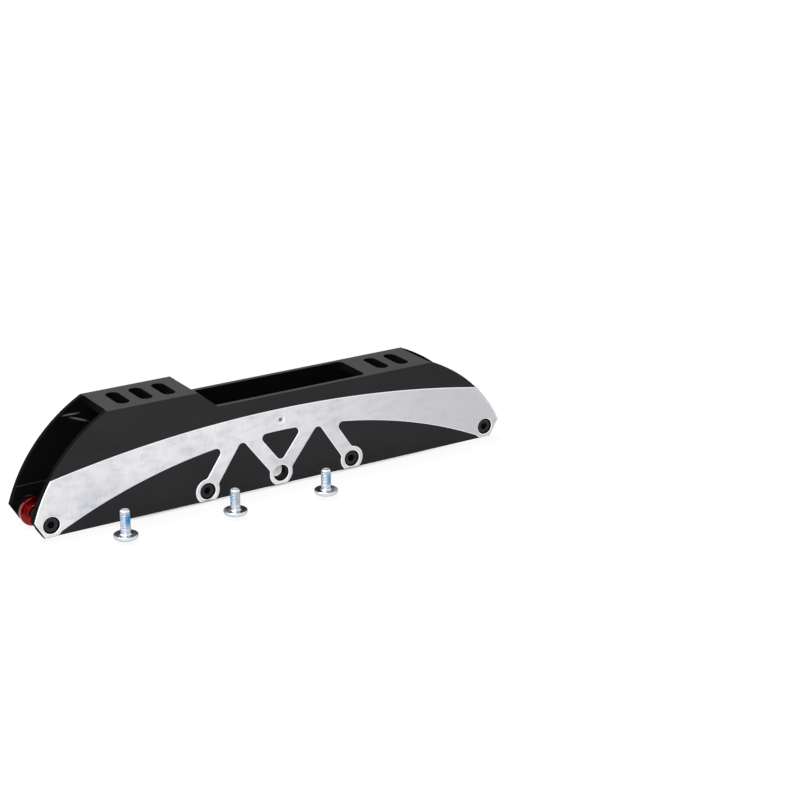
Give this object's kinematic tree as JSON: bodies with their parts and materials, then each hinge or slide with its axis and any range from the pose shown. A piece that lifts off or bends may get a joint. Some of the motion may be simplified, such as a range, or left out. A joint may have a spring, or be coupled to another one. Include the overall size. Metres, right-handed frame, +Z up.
{
  "type": "inline skate frame",
  "caption": "Channel-shaped aluminium inline skate frame with a raised heel deck, slotted boot decks, bare metal arch plates, removable axles, bearing spacers and loose bolts.",
  "frame": {"origin": "centre of the empty middle axle hole, midway between the walls", "axes": "+X to the toe, +Y to the left along the axles, +Z up"},
  "size_m": [0.328, 0.0728, 0.0723],
  "materials": {
    "black_anodised": "satin black anodised",
    "bare_aluminium": "milled, bare",
    "rivet_metal": "bare",
    "black_steel": "black oxide",
    "red_anodised": "gloss red anodised",
    "zinc_steel": "bright zinc plate"
  },
  "bodies": {
    "chassis": {"chassis": "black_anodised", "left_side_plate": "bare_aluminium", "right_side_plate": "bare_aluminium", "left_plate_rivet": "rivet_metal", "right_plate_rivet": "rivet_metal"},
    "axle_sleeve_1": {"axle_sleeve_1": "black_steel"},
    "axle_screw_1": {"axle_screw_1": "black_steel"},
    "bearing_spacer_1": {"bearing_spacer_1": "red_anodised"},
    "axle_sleeve_2": {"axle_sleeve_2": "black_steel"},
    "axle_screw_2": {"axle_screw_2": "black_steel"},
    "bearing_spacer_2": {"bearing_spacer_2": "red_anodised"},
    "axle_sleeve_3": {"axle_sleeve_3": "black_steel"},
    "axle_screw_3": {"axle_screw_3": "black_steel"},
    "bearing_spacer_3": {"bearing_spacer_3": "red_anodised"},
    "axle_sleeve_4": {"axle_sleeve_4": "black_steel"},
    "axle_screw_4": {"axle_screw_4": "black_steel"},
    "bearing_spacer_4": {"bearing_spacer_4": "red_anodised"},
    "mounting_bolt_1": {"mounting_bolt_1": "zinc_steel"},
    "mounting_bolt_2": {"mounting_bolt_2": "zinc_steel"},
    "mounting_bolt_3": {"mounting_bolt_3": "zinc_steel"}
  },
  "joints": [
    {"name": "axle_sleeve_1_pull", "type": "slide", "parent": "chassis", "child": "axle_sleeve_1", "axis": [0, 1, 0], "range_m": [0, 0.045]},
    {"name": "axle_screw_1_undo", "type": "slide", "parent": "chassis", "child": "axle_screw_1", "axis": [0, -1, 0], "range_m": [0, 0.018]},
    {"name": "bearing_spacer_1_slide", "type": "slide", "parent": "chassis", "child": "bearing_spacer_1", "axis": [0, 1, 0], "range_m": [-0.0144, 0]},
    {"name": "axle_sleeve_2_pull", "type": "slide", "parent": "chassis", "child": "axle_sleeve_2", "axis": [0, 1, 0], "range_m": [0, 0.045]},
    {"name": "axle_screw_2_undo", "type": "slide", "parent": "chassis", "child": "axle_screw_2", "axis": [0, -1, 0], "range_m": [0, 0.018]},
    {"name": "bearing_spacer_2_slide", "type": "slide", "parent": "chassis", "child": "bearing_spacer_2", "axis": [0, 1, 0], "range_m": [-0.0144, 0]},
    {"name": "axle_sleeve_3_pull", "type": "slide", "parent": "chassis", "child": "axle_sleeve_3", "axis": [0, 1, 0], "range_m": [0, 0.045]},
    {"name": "axle_screw_3_undo", "type": "slide", "parent": "chassis", "child": "axle_screw_3", "axis": [0, -1, 0], "range_m": [0, 0.018]},
    {"name": "bearing_spacer_3_slide", "type": "slide", "parent": "chassis", "child": "bearing_spacer_3", "axis": [0, 1, 0], "range_m": [-0.0144, 0]},
    {"name": "axle_sleeve_4_pull", "type": "slide", "parent": "chassis", "child": "axle_sleeve_4", "axis": [0, 1, 0], "range_m": [0, 0.045]},
    {"name": "axle_screw_4_undo", "type": "slide", "parent": "chassis", "child": "axle_screw_4", "axis": [0, -1, 0], "range_m": [0, 0.018]},
    {"name": "bearing_spacer_4_slide", "type": "slide", "parent": "chassis", "child": "bearing_spacer_4", "axis": [0, 1, 0], "range_m": [-0.0144, 0]},
    {"name": "mounting_bolt_1_lift", "type": "slide", "parent": "chassis", "child": "mounting_bolt_1", "axis": [0, 0, 1], "range_m": [0, 0.06]},
    {"name": "mounting_bolt_2_lift", "type": "slide", "parent": "chassis", "child": "mounting_bolt_2", "axis": [0, 0, 1], "range_m": [0, 0.06]},
    {"name": "mounting_bolt_3_lift", "type": "slide", "parent": "chassis", "child": "mounting_bolt_3", "axis": [0, 0, 1], "range_m": [0, 0.06]}
  ]
}
